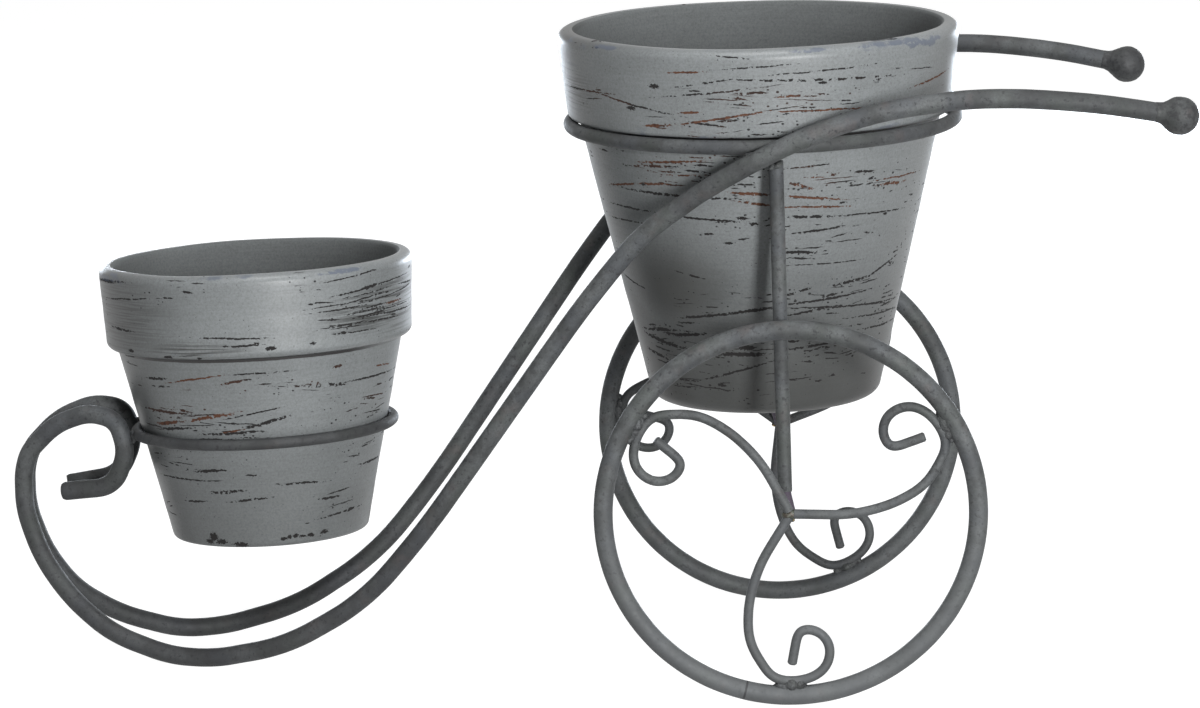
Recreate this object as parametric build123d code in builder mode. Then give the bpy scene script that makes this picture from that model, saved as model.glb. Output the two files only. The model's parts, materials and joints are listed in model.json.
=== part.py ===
# Wheelbarrow planter: a bent steel rod frame on two wire wheels that carries two tapered clay pots
from build123d import *
from math import acos, atan, cos, radians, sin, sqrt, tan
import os

# Lengths are millimetres and angles are degrees
# Z is up, X points to the handles, and left is the -Y side, as for someone holding the handles
# The origin is on the floor, halfway along the length and midway between the wheels

# Frame rods
front_reach = 395.8
handle_reach = 198.1
handle_mismatch = 7.5
handle_top_height = 306.6
rod_diameter = 9.5

# Handle knobs
knob_diameter = 19.0
knob_socket_depth = 3.5
knob_neck_length = 4.5
knob_neck_wall = 1.5
knob_lip_wall = 0.4
knob_fit = 0.05

# Wheels
wheel_diameter = 193.8
hoop_bar_diameter = 9.5
spoke_diameter = 4.8
hub_gap = 1.6
left_spoke_turns = (0.0, 120.0, 240.0)
right_spoke_turns = (22.5, 145.0, 265.0)

# Legs
leg_diameter = 7.2
leg_top_setback = 7.4
leg_foot_setback = 2.6
leg_foot_rise = 8.9
leg_top_drop = 10.0
hub_stub_diameter = 5.4

# Large pot
large_rim_diameter = 203.2
large_height = 189.5
large_base_diameter = 115.0
large_band_height = 44.2
large_rim_flare = 4.7
large_band_step = 5.2
large_wall = 8.8
large_floor = 11.0
large_hole_diameter = 19.0
large_base_round = 7.0
large_seat_setback = 11.7
large_seat_pitch = 1.3
large_pot_shift = 1.4

# Small pot
small_rim_diameter = 160.0
small_height = 142.0
small_base_diameter = 99.6
small_band_height = 42.4
small_rim_flare = 2.1
small_band_step = 5.2
small_wall = 7.2
small_floor = 9.0
small_hole_diameter = 16.0
small_base_round = 3.0
small_seat_height = 55.4
small_seat_pitch = 2.5
small_seat_roll = 3.0

# Edges that both pots share
rim_round = 3.2
band_foot_round = 2.4
inner_corner_round = 8.0

# Pot rings
large_ring_wire_diameter = 7.0
large_ring_slack = 2.1
small_ring_wire_diameter = 5.6

# Clearances and welds
seat_gap = 0.3
weld_gap = 0.2
scroll_gap = 0.4
leg_clearance = 0.3
hoop_weld_diameter = 11.0
ring_weld_diameter = 10.0
ring_weld_setback = 6.0
scroll_weld_diameter = 9.6
leg_weld_diameter = 10.4
hub_braze_diameter = 8.6

# How much of the shorter straight beside a corner its bend uses up
bend_share = 0.45

# Corners of the left rod, from the scroll's cut end round the nose to the handle: x is a share of
# the reach to the nose, or to the knob where it is negative, y of the spread, z of the crown height.
# The small ring is held between the first two tables, and the large ring between the last two.
rod_scroll_shares = ((0.947, 0.041, 0.277), (0.879, 0.094, 0.289), (0.860, 0.123, 0.352))
rod_rise_shares = (
    (0.872, 0.108, 0.407), (0.910, 0.068, 0.418), (0.956, 0.034, 0.395), (0.992, 0.005, 0.345),
    (1.000, 0.000, 0.308), (1.000, 0.000, 0.242), (0.979, 0.017, 0.160), (0.942, 0.046, 0.090),
    (0.886, 0.150, 0.034), (0.808, 0.220, 0.000), (0.748, 0.285, 0.000), (0.652, 0.370, 0.030),
    (0.547, 0.460, 0.116), (0.468, 0.535, 0.243), (0.260, 0.727, 0.645), (0.187, 0.807, 0.768),
    (0.108, 0.912, 0.848), (0.045, 1.000, 0.900),
)
rod_handle_shares = (
    (-0.030, 1.000, 0.938), (-0.222, 0.998, 0.981), (-0.446, 0.980, 1.000),
    (-0.600, 0.965, 1.000), (-0.796, 0.930, 0.989), (-1.000, 0.871, 0.966),
)

# Corners of one spoke past the hub, along and across its start, as shares of the reach to the hoop
spoke_outer_shares = ((0.353, -0.007), (0.588, 0.054), (0.787, 0.170))
spoke_curl_shares = (
    (0.682, 0.652), (0.555, 0.593), (0.519, 0.484), (0.571, 0.383), (0.775, 0.458),
)
spoke_touch_share = 0.1
spoke_touch_turn = 30.0

# Sizes that follow from those above
rod_radius = rod_diameter / 2
knob_radius = knob_diameter / 2
wheel_radius = wheel_diameter / 2
hoop_bar_radius = hoop_bar_diameter / 2
hoop_radius = wheel_radius - hoop_bar_radius
spoke_radius = spoke_diameter / 2
leg_radius = leg_diameter / 2
large_wire_radius = large_ring_wire_diameter / 2
small_wire_radius = small_ring_wire_diameter / 2
large_shoulder_radius = large_rim_diameter / 2 - large_rim_flare - large_band_step
small_shoulder_radius = small_rim_diameter / 2 - small_rim_flare - small_band_step
large_ring_radius = large_shoulder_radius + large_ring_slack + large_wire_radius
small_draft = atan(
    (small_shoulder_radius - small_base_diameter / 2) / (small_height - small_band_height)
)
small_ring_radius = (
    small_base_diameter / 2
    + small_seat_height * tan(small_draft)
    + (small_wire_radius + seat_gap) / cos(small_draft)
)
half_spread = large_ring_radius + large_wire_radius + weld_gap + rod_radius
nose_half_spread = rod_radius + weld_gap / 2
axle_x = (front_reach - handle_reach) / 2
leg_y = half_spread - hoop_bar_radius - leg_clearance - leg_radius
spoke_reach = hoop_radius - hoop_bar_radius - weld_gap - spoke_radius

os.makedirs("parts", exist_ok=True)


def save(name, label):
    """Label one finished piece and write it under its own name."""
    name.part.label = label
    export_step(name.part, f"parts/{label}.step")


def bends(corners):
    """Give the bend radius of each inner corner of a bar."""
    radii = []
    for before, corner, after in zip(corners, corners[1:], corners[2:]):
        run_in = corner - before
        run_out = after - corner
        turn = radians(run_in.get_angle(run_out))
        radii.append(bend_share * min(run_in.length, run_out.length) / tan(turn / 2))
    return radii


def rod_corners(side, reach):
    """Give the corners of one frame rod, for side -1 or 1, up to the centre of its knob."""
    corners = []
    for along, across, up in rod_scroll_shares + rod_rise_shares + rod_handle_shares:
        span = front_reach - rod_radius if along > 0 else reach - knob_radius
        corners.append(Vector(
            axle_x - along * span,
            side * (nose_half_spread + across * (half_spread - nose_half_spread)),
            rod_radius + up * (handle_top_height - rod_diameter),
        ))
    return corners


left_corners = rod_corners(-1, handle_reach)
right_corners = rod_corners(1, handle_reach - handle_mismatch)

# The rods hold the rings where they pass them, at the middle of one straight run
scroll_corner = len(rod_scroll_shares) - 1
ring_corner = scroll_corner + len(rod_rise_shares)
scroll_touch = (left_corners[scroll_corner] + left_corners[scroll_corner + 1]) / 2
scroll_run = left_corners[scroll_corner + 1] - left_corners[scroll_corner]
scroll_lean = acos(scroll_run.Z / scroll_run.length)
ring_touch = (left_corners[ring_corner] + left_corners[ring_corner + 1]) / 2

# The seats are the planes of the two rings, and each pot stands square to its ring
large_seat = Plane(
    origin=(axle_x - large_seat_setback, 0, ring_touch.Z)
).rotated((0, -large_seat_pitch, 0))
small_seat = Plane(origin=(
    scroll_touch.X
    + (rod_radius + scroll_gap + small_wire_radius) / cos(scroll_lean)
    + sqrt(small_ring_radius**2 - scroll_touch.Y**2),
    0,
    scroll_touch.Z + small_ring_radius * sin(radians(small_seat_pitch)),
)).rotated((-small_seat_roll, -small_seat_pitch, 0))


# Pots: a drafted body, a rim band that stands proud of it, and a drain hole
def clay_pot(
    seat, shift, drop, height, band, wall, floor, hole, base, rim, flare, step, base_round
):
    """Make one pot whose base lies a drop below its seat and a shift in front of its centre."""
    shoulder = rim / 2 - flare - step
    draft = (shoulder - base / 2) / (height - band)
    outline = (
        (hole / 2, 0), (base / 2, 0), (shoulder, height - band), (shoulder + step, height - band),
        (rim / 2, height), (rim / 2 - wall, height), (base / 2 + draft * floor - wall, floor),
        (hole / 2, floor),
    )
    rounds = (0, base_round, 0, band_foot_round, rim_round, rim_round, inner_corner_round, 0)
    foot_centre = seat.origin - seat.x_dir * shift - seat.z_dir * drop
    profile = Plane(origin=foot_centre, x_dir=seat.x_dir, z_dir=-seat.y_dir)
    with BuildPart() as pot:
        with BuildSketch(profile):
            with BuildLine():
                FilletPolyline(*outline, radius=rounds, close=True)
            make_face()
        revolve(axis=Axis(foot_centre, seat.z_dir))
    return pot


large_pot = clay_pot(
    seat=large_seat,
    shift=large_pot_shift,
    drop=large_height - large_band_height - large_wire_radius - seat_gap,
    height=large_height,
    band=large_band_height,
    wall=large_wall,
    floor=large_floor,
    hole=large_hole_diameter,
    base=large_base_diameter,
    rim=large_rim_diameter,
    flare=large_rim_flare,
    step=large_band_step,
    base_round=large_base_round,
)
save(large_pot, "large_pot")

small_pot = clay_pot(
    seat=small_seat,
    shift=0,
    drop=small_seat_height,
    height=small_height,
    band=small_band_height,
    wall=small_wall,
    floor=small_floor,
    hole=small_hole_diameter,
    base=small_base_diameter,
    rim=small_rim_diameter,
    flare=small_rim_flare,
    step=small_band_step,
    base_round=small_base_round,
)
save(small_pot, "small_pot")

# Rings: round wire bent to a circle and closed by a butt weld
with BuildPart() as large_pot_ring:
    with Locations(large_seat):
        Torus(large_ring_radius, large_wire_radius)
save(large_pot_ring, "large_pot_ring")

with BuildPart() as small_pot_ring:
    with Locations(small_seat):
        Torus(small_ring_radius, small_wire_radius)
save(small_pot_ring, "small_pot_ring")


# Frame rods and the knobs welded to their ends
def bent_bar(corners, radius):
    """Make a round bar with a smooth bend at each inner corner."""
    with BuildPart() as bar:
        with BuildLine() as path:
            FilletPolyline(*corners, radius=bends(corners))
        with BuildSketch(Plane(origin=path.line @ 0, z_dir=path.line % 0)):
            Circle(radius)
        sweep(path=path.line)
    return bar


frame_rods = {}
for side_name, corners in (("left", left_corners), ("right", right_corners)):
    outward = (corners[-1] - corners[-2]).normalized()
    mouth = sqrt(knob_radius**2 - rod_radius**2)
    rod_end = corners[-1] - outward * (mouth - knob_socket_depth)
    frame_rods[side_name] = bent_bar(corners[:-1] + [rod_end], rod_radius)
    save(frame_rods[side_name], f"{side_name}_frame_rod")

    with BuildPart() as handle_knob:
        with Locations(corners[-1]):
            Sphere(knob_radius)
        with Locations(Plane(origin=rod_end, z_dir=-outward)):
            Cone(
                bottom_radius=rod_radius + knob_neck_wall,
                top_radius=rod_radius + knob_lip_wall,
                height=knob_socket_depth + knob_neck_length,
                align=(Align.CENTER, Align.CENTER, Align.MIN),
            )
            Cylinder(
                radius=rod_radius + knob_fit,
                height=knob_socket_depth + knob_neck_length,
                align=(Align.CENTER, Align.CENTER, Align.MIN),
                mode=Mode.SUBTRACT,
            )
    save(handle_knob, f"{side_name}_handle_knob")


def spoke_point(along, across, turn):
    """Turn a point of the spoke pattern about the hub."""
    angle = radians(turn)
    return (
        along * cos(angle) - across * sin(angle),
        along * sin(angle) + across * cos(angle),
    )


# Each curl touches the hoop at the middle of this straight run
touch_run_shares = (
    spoke_point(1, -spoke_touch_share, spoke_touch_turn),
    spoke_point(1, spoke_touch_share, spoke_touch_turn),
)
spoke_shares = spoke_outer_shares + touch_run_shares + spoke_curl_shares


def weld_beads(spots, diameter, neighbours):
    """Put a round bead at each spot and cut it to the pieces that it joins."""
    with BuildPart() as beads:
        with Locations(*spots):
            Sphere(diameter / 2)
        for neighbour in neighbours:
            add(neighbour.part, mode=Mode.SUBTRACT)
    return beads


# Each side: a hoop, three curled spokes, the leg down from the rod and the stub that ends at the hub
legs = {}
for side_name, side, spoke_turns in (
    ("left", -1, left_spoke_turns),
    ("right", 1, right_spoke_turns),
):
    hub = Vector(axle_x, side * half_spread, wheel_radius)
    wheel_plane = Plane(origin=hub, x_dir=(1, 0, 0), z_dir=(0, -1, 0))

    with BuildPart() as wheel_rim:
        with Locations(wheel_plane):
            Torus(hoop_radius, hoop_bar_radius)
    save(wheel_rim, f"{side_name}_wheel_rim")

    spokes = []
    touch_points = []
    for number, turn in enumerate(spoke_turns, start=1):
        route = [spoke_point(hub_gap, 0, turn)]
        route += [spoke_point(x * spoke_reach, z * spoke_reach, turn) for x, z in spoke_shares]
        route = [wheel_plane.from_local_coords(Vector(*spot)) for spot in route]
        wheel_spoke = bent_bar(route, spoke_radius)
        spokes.append(wheel_spoke)
        touch_spot = spoke_point(spoke_reach + spoke_radius, 0, turn + spoke_touch_turn)
        touch_points.append(wheel_plane.from_local_coords(Vector(*touch_spot)))
        save(wheel_spoke, f"{side_name}_wheel_spoke_{number}")

    leg_foot = Vector(axle_x - leg_foot_setback, side * leg_y, wheel_radius + leg_foot_rise)
    leg_head = Vector(axle_x - leg_top_setback, side * leg_y, ring_touch.Z - leg_top_drop)
    with BuildPart() as leg:
        with Locations(Plane(origin=leg_foot, z_dir=leg_head - leg_foot)):
            Cylinder(
                radius=leg_radius,
                height=(leg_head - leg_foot).length,
                align=(Align.CENTER, Align.CENTER, Align.MIN),
            )
    legs[side_name] = leg
    save(leg, f"{side_name}_leg")

    hub_face = hub - Vector(0, side * spoke_radius / 2, 0)
    stub_root = leg_foot + (leg_foot - hub_face).normalized() * hub_stub_diameter / 4
    with BuildPart() as hub_stub:
        with Locations(Plane(origin=stub_root, z_dir=hub_face - stub_root)):
            Cylinder(
                radius=hub_stub_diameter / 2,
                height=(hub_face - stub_root).length,
                align=(Align.CENTER, Align.CENTER, Align.MIN),
            )
        for neighbour in [leg] + spokes:
            add(neighbour.part, mode=Mode.SUBTRACT)
    save(hub_stub, f"{side_name}_hub_stub")

    hub_braze = weld_beads([hub], hub_braze_diameter, [leg, hub_stub] + spokes)
    save(hub_braze, f"{side_name}_hub_braze")

    wheel_welds = weld_beads(touch_points, hoop_weld_diameter, [wheel_rim] + spokes)
    save(wheel_welds, f"{side_name}_wheel_welds")


# Weld beads that join both rods to the rings and to the legs
def twins(spot):
    """Give a spot and its mirror image on the other side."""
    return [spot, Vector(spot.X, -spot.Y, spot.Z)]


both_rods = list(frame_rods.values())

scroll_weld_spot = scroll_touch + Vector(rod_radius + scroll_gap / 2, 0, 0)
small_ring_welds = weld_beads(
    twins(scroll_weld_spot), scroll_weld_diameter, both_rods + [small_pot_ring]
)
save(small_ring_welds, "small_ring_welds")

ring_weld_spot = Vector(
    large_seat.origin.X - ring_weld_setback,
    -large_ring_radius - large_wire_radius / 2,
    ring_touch.Z - large_wire_radius,
)
large_ring_welds = weld_beads(
    twins(ring_weld_spot), ring_weld_diameter, both_rods + [large_pot_ring]
)
save(large_ring_welds, "large_ring_welds")

leg_weld_spot = Vector(
    axle_x - leg_top_setback,
    -(leg_y + half_spread) / 2,
    ring_touch.Z - leg_top_drop + leg_radius / 2,
)
leg_welds = weld_beads(
    twins(leg_weld_spot), leg_weld_diameter, both_rods + [large_pot_ring] + list(legs.values())
)
save(leg_welds, "leg_welds")
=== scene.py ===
import json
from math import atan2, cos, degrees, pi, radians, sin, sqrt, tan
from random import Random

import bpy
from mathutils import Matrix, Vector, noise


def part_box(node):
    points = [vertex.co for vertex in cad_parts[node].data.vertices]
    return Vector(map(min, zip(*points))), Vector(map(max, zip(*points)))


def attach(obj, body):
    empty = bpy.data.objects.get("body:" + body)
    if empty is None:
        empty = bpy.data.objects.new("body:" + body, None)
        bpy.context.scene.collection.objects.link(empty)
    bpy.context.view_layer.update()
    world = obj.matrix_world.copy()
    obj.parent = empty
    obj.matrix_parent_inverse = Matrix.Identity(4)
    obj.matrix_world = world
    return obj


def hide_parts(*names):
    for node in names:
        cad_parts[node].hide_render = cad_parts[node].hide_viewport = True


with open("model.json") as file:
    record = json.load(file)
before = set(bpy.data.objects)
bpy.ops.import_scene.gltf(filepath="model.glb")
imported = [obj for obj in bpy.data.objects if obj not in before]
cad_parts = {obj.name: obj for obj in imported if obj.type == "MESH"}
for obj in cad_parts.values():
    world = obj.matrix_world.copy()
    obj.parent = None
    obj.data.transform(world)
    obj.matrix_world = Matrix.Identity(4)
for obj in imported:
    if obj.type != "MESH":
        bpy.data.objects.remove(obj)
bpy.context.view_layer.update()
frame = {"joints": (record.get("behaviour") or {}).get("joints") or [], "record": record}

# Lengths are in metres, or in millimetres where a comment says so, in the frame's own axes:
# Z up, X towards the handles, left is the -Y side
mm = 0.001

# Frame rods
front_reach = 395.8 * mm
handle_reach = 198.1 * mm
handle_mismatch = 7.5 * mm
handle_top_height = 306.6 * mm
rod_diameter = 9.5 * mm
rod_radius = rod_diameter / 2
bend_share = 0.45

# Handle knobs
knob_radius = 19.0 * mm / 2
knob_neck_length = 4.5 * mm
knob_neck_lip = 0.12 * mm
knob_neck_swell = 1.0 * mm
knob_fillet = 2.2 * mm

# Wheels and legs
hoop_bar_radius = 9.5 * mm / 2
spoke_radius = 4.8 * mm / 2
spoke_ease_reach = 4.0 * mm
hub_gap = 1.6 * mm
leg_radius = 7.2 * mm / 2
leg_clearance = 0.3 * mm
leg_foot_setback = 2.6 * mm
leg_foot_rise = 8.9 * mm
leg_top_setback = 7.4 * mm
stub_radius = 5.4 * mm / 2
stub_start_rise = 1.2 * mm
leg_top_rise = 3.0 * mm
left_spoke_turns = (0.0, 120.0, 240.0)
right_spoke_turns = (22.5, 145.0, 265.0)

# Rings
large_wire_radius = 7.0 * mm / 2
small_wire_radius = 5.6 * mm / 2
weld_gap = 0.2 * mm
weld_spot_limit = 9.0 * mm

# Pots
large_pot = {
    "rim": 203.2 * mm, "height": 189.5 * mm, "base": 115.0 * mm, "band": 44.2 * mm,
    "flare": 4.7 * mm, "step": 5.2 * mm, "wall": 8.8 * mm, "floor": 11.0 * mm,
    "hole": 19.0 * mm, "base_round": 7.0 * mm, "foot_round": 2.6 * mm,
}
small_pot = {
    "rim": 160.0 * mm, "height": 142.0 * mm, "base": 99.6 * mm, "band": 42.4 * mm,
    "flare": 2.1 * mm, "step": 5.2 * mm, "wall": 7.2 * mm, "floor": 9.0 * mm,
    "hole": 16.0 * mm, "base_round": 3.0 * mm, "foot_round": 4.0 * mm,
}
rim_outer_round = 4.6 * mm
rim_inner_round = 2.4 * mm
inner_corner_round = 8.0 * mm
hole_round = 0.8 * mm
shoulder_round = 0.4 * mm
outline_step = 2.6 * mm
wall_wave = 0.35 * mm
wall_rings = 0.10 * mm
rim_wave = 0.45 * mm
rim_wave_reach = 60 * mm
chip_depth = 1.0 * mm
rim_wear_reach = 6.0 * mm
band_wear_reach = 4.0 * mm

# Corners of the left rod, from the scroll's cut end round the nose to the handle: x is a share of
# the reach to the nose, or to the knob where it is negative, y of the spread, z of the crown height.
# A fit to the rods in the photograph moved them, and some were then shifted
rod_shares = (
    (0.947, 0.041, 0.277), (0.879, 0.094, 0.289), (0.860, 0.123, 0.352), (0.872, 0.108, 0.407),
    (0.910, 0.068, 0.418), (0.956, 0.034, 0.395), (0.992, 0.005, 0.345), (1.000, 0.000, 0.308),
    (1.000, 0.000, 0.242), (0.979, 0.017, 0.160), (0.942, 0.046, 0.090), (0.886, 0.150, 0.034),
    (0.808, 0.220, 0.000), (0.748, 0.285, 0.000), (0.652, 0.370, 0.030), (0.547, 0.460, 0.116),
    (0.468, 0.535, 0.243), (0.260, 0.727, 0.645), (0.187, 0.807, 0.768), (0.108, 0.912, 0.848),
    (0.045, 1.000, 0.900), (-0.030, 1.000, 0.938), (-0.222, 0.998, 0.981), (-0.446, 0.980, 1.000),
    (-0.600, 0.965, 1.000), (-0.796, 0.930, 0.989), (-1.000, 0.871, 0.966),
)
scroll_corner = 2

# Corners of one spoke past the hub, along and across its start, as shares of the reach to the hoop
spoke_outer_shares = ((0.353, -0.007), (0.588, 0.054), (0.787, 0.170))
spoke_curl_shares = ((0.682, 0.652), (0.555, 0.593), (0.519, 0.484), (0.571, 0.383), (0.775, 0.458))
spoke_touch_share = 0.1
spoke_touch_turn = 30.0

# Places read from the frame
left_hoop_low, left_hoop_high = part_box("left_wheel_rim")
left_hub = (left_hoop_low + left_hoop_high) / 2
half_spread = -left_hub.y
axle_x = left_hub.x
wheel_radius = left_hub.z
hoop_radius = wheel_radius - hoop_bar_radius
spoke_reach = hoop_radius - hoop_bar_radius - weld_gap - spoke_radius
nose_half_spread = rod_radius + weld_gap / 2
mounts = {mount["name"]: mount for mount in frame["record"]["mounts"]}


def link(piece):
    """Put a new object in the scene."""
    bpy.context.scene.collection.objects.link(piece)
    return piece


def finish(piece, material, body, slot, *nodes):
    """Give a piece its material and body, and let it stand for the frame's nodes. slot is not used."""
    if not piece.data.materials:
        piece.data.materials.append(material)
    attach(piece, body)
    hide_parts(*nodes)
    return piece


class Shade:
    """One material and short calls that add nodes to it."""

    def __init__(self, name):
        self.material = bpy.data.materials.new(name)
        self.material.use_nodes = True
        self.tree = self.material.node_tree
        self.tree.nodes.clear()

    def node(self, kind, inputs=None, **settings):
        return add_node(self.tree, kind, inputs, **settings)

    def place(self):
        """Object coordinates."""
        return self.node("ShaderNodeTexCoord").outputs["Object"]

    def attribute(self, name):
        """A value that the mesh carries."""
        return self.node("ShaderNodeAttribute", attribute_name=name).outputs["Fac"]

    def stretch(self, vector, scale, shift=(0, 0, 0)):
        """Scale a place differently along each axis."""
        values = {"Vector": vector, "Scale": scale, "Location": shift}
        return self.node("ShaderNodeMapping", values).outputs["Vector"]

    def noise(self, vector, scale=1.0, detail=2.0, roughness=0.5):
        """Soft noise, about 0.3 to 0.7."""
        values = {"Vector": vector, "Scale": scale, "Detail": detail, "Roughness": roughness}
        return self.node("ShaderNodeTexNoise", values).outputs["Fac"]

    def parts(self, vector):
        return self.node("ShaderNodeSeparateXYZ", {"Vector": vector}).outputs

    def combined(self, **parts):
        return self.node("ShaderNodeCombineXYZ", parts).outputs["Vector"]

    def vector(self, operation, *values):
        """A sum on vectors, which gives a vector or, for DOT_PRODUCT and LENGTH, a value."""
        node = self.node("ShaderNodeVectorMath", dict(enumerate(values)), operation=operation)
        return node.outputs["Value" if operation in ("DOT_PRODUCT", "LENGTH") else "Vector"]

    def math(self, operation, a, b=0.0):
        return math_node(self.tree, operation, a, b)

    def times(self, a, b):
        return self.math("MULTIPLY", a, b)

    def plus(self, a, b):
        return self.math("ADD", a, b)

    def minus(self, a, b):
        return self.math("SUBTRACT", a, b)

    def larger(self, a, b):
        return self.math("MAXIMUM", a, b)

    def ramp(self, value, low, high, start=0.0, end=1.0):
        """A smooth step from start to end as the value goes from low to high."""
        values = {"Value": value, "From Min": low, "From Max": high, "To Min": start, "To Max": end}
        ramp = self.node("ShaderNodeMapRange", values, interpolation_type="SMOOTHSTEP")
        return ramp.outputs["Result"]

    def mix(self, amount, first, second, blend="MIX"):
        """Mix two colours."""
        node = self.node("ShaderNodeMix", {"Factor": amount}, data_type="RGBA", blend_type=blend)
        for socket, value in ((node.inputs[6], first), (node.inputs[7], second)):
            fill(self.tree, socket, value)
        return node.outputs[2]

    def bump(self, height, distance, strength=1.0, normal=None):
        values = {"Height": height, "Distance": distance, "Strength": strength}
        if normal is not None:
            values["Normal"] = normal
        return self.node("ShaderNodeBump", values).outputs["Normal"]

    def surface(self, **inputs):
        """End in one Principled surface. Underscores in the names stand for spaces."""
        values = {name.replace("_", " "): value for name, value in inputs.items()}
        shader = self.node("ShaderNodeBsdfPrincipled", values)
        self.node("ShaderNodeOutputMaterial", {"Surface": shader.outputs["BSDF"]})
        return self.material


def fill(tree, socket, value):
    """Link a socket, or set its own value."""
    if isinstance(value, bpy.types.NodeSocket):
        tree.links.new(value, socket)
    elif isinstance(value, tuple) and len(value) == 3 and socket.type == "RGBA":
        socket.default_value = (*value, 1)
    else:
        socket.default_value = value


def add_node(tree, kind, inputs=None, **settings):
    """Add a node, set its properties, then fill its inputs."""
    node = tree.nodes.new(kind)
    for key, value in settings.items():
        setattr(node, key, value)
    for key, value in (inputs or {}).items():
        fill(tree, node.inputs[key], value)
    return node


def math_node(tree, operation, a, b=0.0):
    """Add a sum of two values and give its result."""
    return add_node(tree, "ShaderNodeMath", {0: a, 1: b}, operation=operation).outputs[0]


# Painted clay: matt grey paint brushed round the pot, with broken dark and rusty brush marks
paint_light = (0.234, 0.251, 0.256)
paint_dark = (0.172, 0.184, 0.186)
# The next colour darkens both grime streaks and painted shade
paint_grime_and_shade = (0.033, 0.034, 0.032)
paint_speck = (0.095, 0.100, 0.102)
mark_black = (0.012, 0.011, 0.011)
rust_brown = (0.046, 0.021, 0.014)
rust_orange = (0.096, 0.041, 0.024)
bare_blue = (0.085, 0.102, 0.140)
mark_half_share = 0.58


def mark_layer(s, at, around, cell, tall, width, tilt, crowd, ragged, seed):
    """Thin separate brush marks, one in each stretched cell, where the crowd value lets them show."""
    shrunk = s.stretch(at, (1 / cell, 1 / cell, 1 / tall), (seed, seed * 0.7, seed * 1.3))
    cells = s.node("ShaderNodeTexVoronoi", {"Vector": shrunk, "Scale": 1.0}).outputs
    offset = s.vector("SUBTRACT", shrunk, cells["Position"])
    offset = s.vector("MULTIPLY", offset, (cell, cell, tall))
    along = s.vector("DOT_PRODUCT", offset, around)
    rise = s.parts(offset)["Z"]
    chance = s.node("ShaderNodeSeparateColor", {"Color": cells["Color"]}).outputs
    lean = s.times(s.minus(chance["Red"], 0.5), 2 * tilt)
    rise = s.math("ABSOLUTE", s.minus(rise, s.times(lean, along)))
    half = s.times(s.plus(chance["Green"], 0.35), 0.42 * cell)
    reach = s.math("DIVIDE", s.math("ABSOLUTE", along), half)
    taper = s.ramp(reach, 0.45, 1.0, 1.0, 0.0)
    line_width = s.times(s.plus(chance["Blue"], 0.5), width)
    line_width = s.times(line_width, s.times(taper, ragged))
    line = s.ramp(s.minus(rise, line_width), -0.12 * mm, 0.10 * mm, 1.0, 0.0)
    line = s.times(line, s.ramp(taper, 0.0, 0.1))
    return s.times(line, s.ramp(s.minus(crowd, chance["Green"]), -0.02, 0.02))


def nearest(s, flat, crossed, ovals):
    """How far a place is from the nearest of some ovals: 0 at its middle, 1 at its edge."""
    closest = 9.0
    for along, height, half_length, half_width, slope in ovals:
        run = cos(slope)
        rise = sin(slope)
        own = s.vector(
            "MULTIPLY_ADD", flat, (run / half_length, run / half_width, 0),
            (-(along * run + height * rise) / half_length, (along * rise - height * run) / half_width, 0),
        )
        if slope:
            own = s.vector("MULTIPLY_ADD", crossed, (rise / half_length, -rise / half_width, 0), own)
        closest = s.math("MINIMUM", closest, s.vector("LENGTH", own))
    return closest


def patches(s, flat, girth, places):
    """1 at the middle of each patch, falling to 0 at its edge."""
    ovals = [
        (radians(turn) * girth, height * mm, radians(half_turn) * girth, half_height * mm, 0.0)
        for turn, height, half_turn, half_height in places
    ]
    return s.ramp(nearest(s, flat, None, ovals), 0.1, 1.0, 1.0, 0.0)


def drawn_marks(s, flat, crossed, girth, gaps, ragged, marks):
    """Long thin brush marks, each from one place to another.

    The last value of each is the share of its length that is unbroken."""
    drawn = 0.0
    for least, most, cut in ((0.0, 0.6, 0.52), (0.6, 0.8, 0.59), (0.8, 1.1, 0.66)):
        ovals = []
        for turn, height, last_turn, last_height, width, whole in marks:
            if least <= whole < most:
                run = Vector((radians(last_turn - turn) * girth, (last_height - height) * mm))
                ovals.append((
                    radians(turn + last_turn) / 2 * girth, (height + last_height) * mm / 2,
                    run.length / 2, width * mm * mark_half_share, atan2(run.y, run.x),
                ))
        if ovals:
            shape = s.ramp(s.minus(nearest(s, flat, crossed, ovals), ragged), -0.16, 0.16, 1.0, 0.0)
            shape = s.times(shape, s.ramp(gaps, cut - 0.015, cut + 0.015, 1.0, 0.0))
            drawn = s.larger(drawn, shape)
    return drawn


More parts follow.
